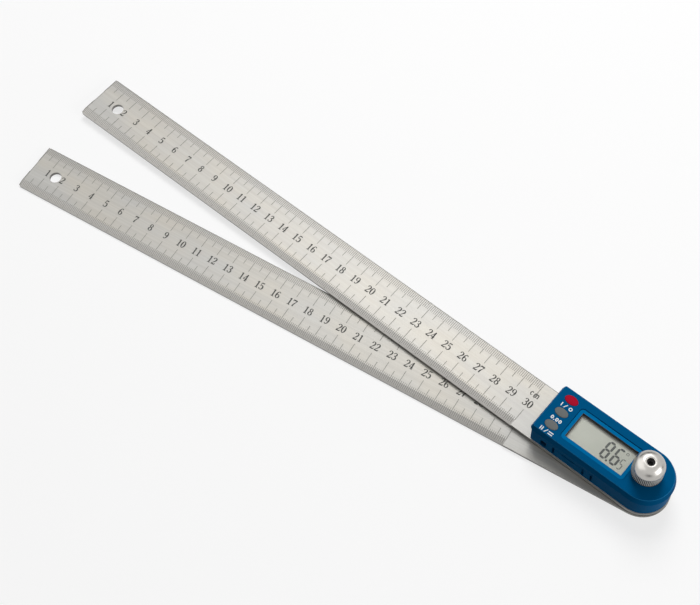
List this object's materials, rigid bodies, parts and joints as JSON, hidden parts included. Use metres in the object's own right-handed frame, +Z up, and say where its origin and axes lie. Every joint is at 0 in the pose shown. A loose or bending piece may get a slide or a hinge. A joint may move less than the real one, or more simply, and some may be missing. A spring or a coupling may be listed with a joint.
{
  "type": "digital angle finder",
  "caption": "Digital angle finder: ruled steel arms turning about a clamped pivot, with a display housing, oval buttons, domed knob and battery tray.",
  "frame": {"origin": "on the pivot axis, at the plane that the underside of the lower arm rests on", "axes": "the upper arm runs from the pivot towards -X; +Y is its far edge with the fine marks; +Z is up, out of the display"},
  "size_m": [0.3801, 0.0828, 0.0346],
  "materials": {
    "arm_steel": "brushed along its length, satin",
    "shell_blue": "fine satin moulded plastic",
    "cover_blue": "fine satin moulded plastic",
    "bezel_blue": "satin, lighter blue",
    "clear_window": "clear acrylic",
    "lcd_glass": "grey-green panel",
    "button_red": "soft satin",
    "button_grey": "soft satin",
    "knob_chrome": "polished dome, knurled band",
    "pivot_steel": "turned",
    "black_steel": "blackened",
    "bush_brass": "turned",
    "board_green": "solder mask",
    "black_plastic": "moulded",
    "strip_rubber": "banded",
    "washer_grey": "dry friction washer",
    "contact_steel": "sprung strip, plated",
    "cell_steel": "plated can"
  },
  "bodies": {
    "base": {"upper_arm": "arm_steel", "pivot_bush": "bush_brass", "housing_base": "shell_blue", "housing_cover": "cover_blue", "display_bezel": "bezel_blue", "display_lens": "clear_window", "lcd_panel": "lcd_glass", "contact_strips": "strip_rubber", "main_board": "board_green", "controller_chip": "black_plastic", "snap_domes": "contact_steel", "data_socket": "black_plastic", "battery_contact_negative": "contact_steel", "battery_contact_positive": "contact_steel", "housing_screws": "pivot_steel", "board_screws": "pivot_steel"},
    "swing_arm": {"lower_arm": "arm_steel", "pivot_shaft": "pivot_steel", "clamp_stud": "black_steel", "friction_washer": "washer_grey", "encoder_rotor": "board_green", "retaining_ring": "pivot_steel"},
    "collar": {"thrust_collar": "pivot_steel"},
    "knob": {"clamp_knob": "knob_chrome"},
    "power": {"power_button": "button_red"},
    "zero": {"zero_button": "button_grey"},
    "hold": {"hold_button": "button_grey"},
    "tray": {"battery_tray": "shell_blue", "coin_cell": "cell_steel"}
  },
  "joints": [
    {"name": "arm_pivot", "type": "hinge", "parent": "base", "child": "swing_arm", "pos_m": [0, 0, 0.0023], "axis": [0, 0, 1], "continuous": true},
    {"name": "knob_lift", "type": "slide", "parent": "swing_arm", "child": "collar", "axis": [0, 0, 1], "range_m": [0, 0.0008]},
    {"name": "knob_turn", "type": "hinge", "parent": "collar", "child": "knob", "pos_m": [0, 0, 0.0226], "axis": [0, 0, 1], "range_deg": [0, 360]},
    {"name": "power_press", "type": "slide", "parent": "base", "child": "power", "axis": [0, 0, -1], "range_m": [0, 0.0005], "stiffness_N_per_m": 600, "springref_m": -0.0002},
    {"name": "zero_press", "type": "slide", "parent": "base", "child": "zero", "axis": [0, 0, -1], "range_m": [0, 0.0005], "stiffness_N_per_m": 600, "springref_m": -0.0002},
    {"name": "hold_press", "type": "slide", "parent": "base", "child": "hold", "axis": [0, 0, -1], "range_m": [0, 0.0005], "stiffness_N_per_m": 600, "springref_m": -0.0002},
    {"name": "tray_slide", "type": "slide", "parent": "base", "child": "tray", "axis": [0, -1, 0], "range_m": [0, 0.022]}
  ],
  "couplings": [
    {"joint": "knob_turn", "follows": "knob_lift", "rad_per_m": 7854}
  ]
}
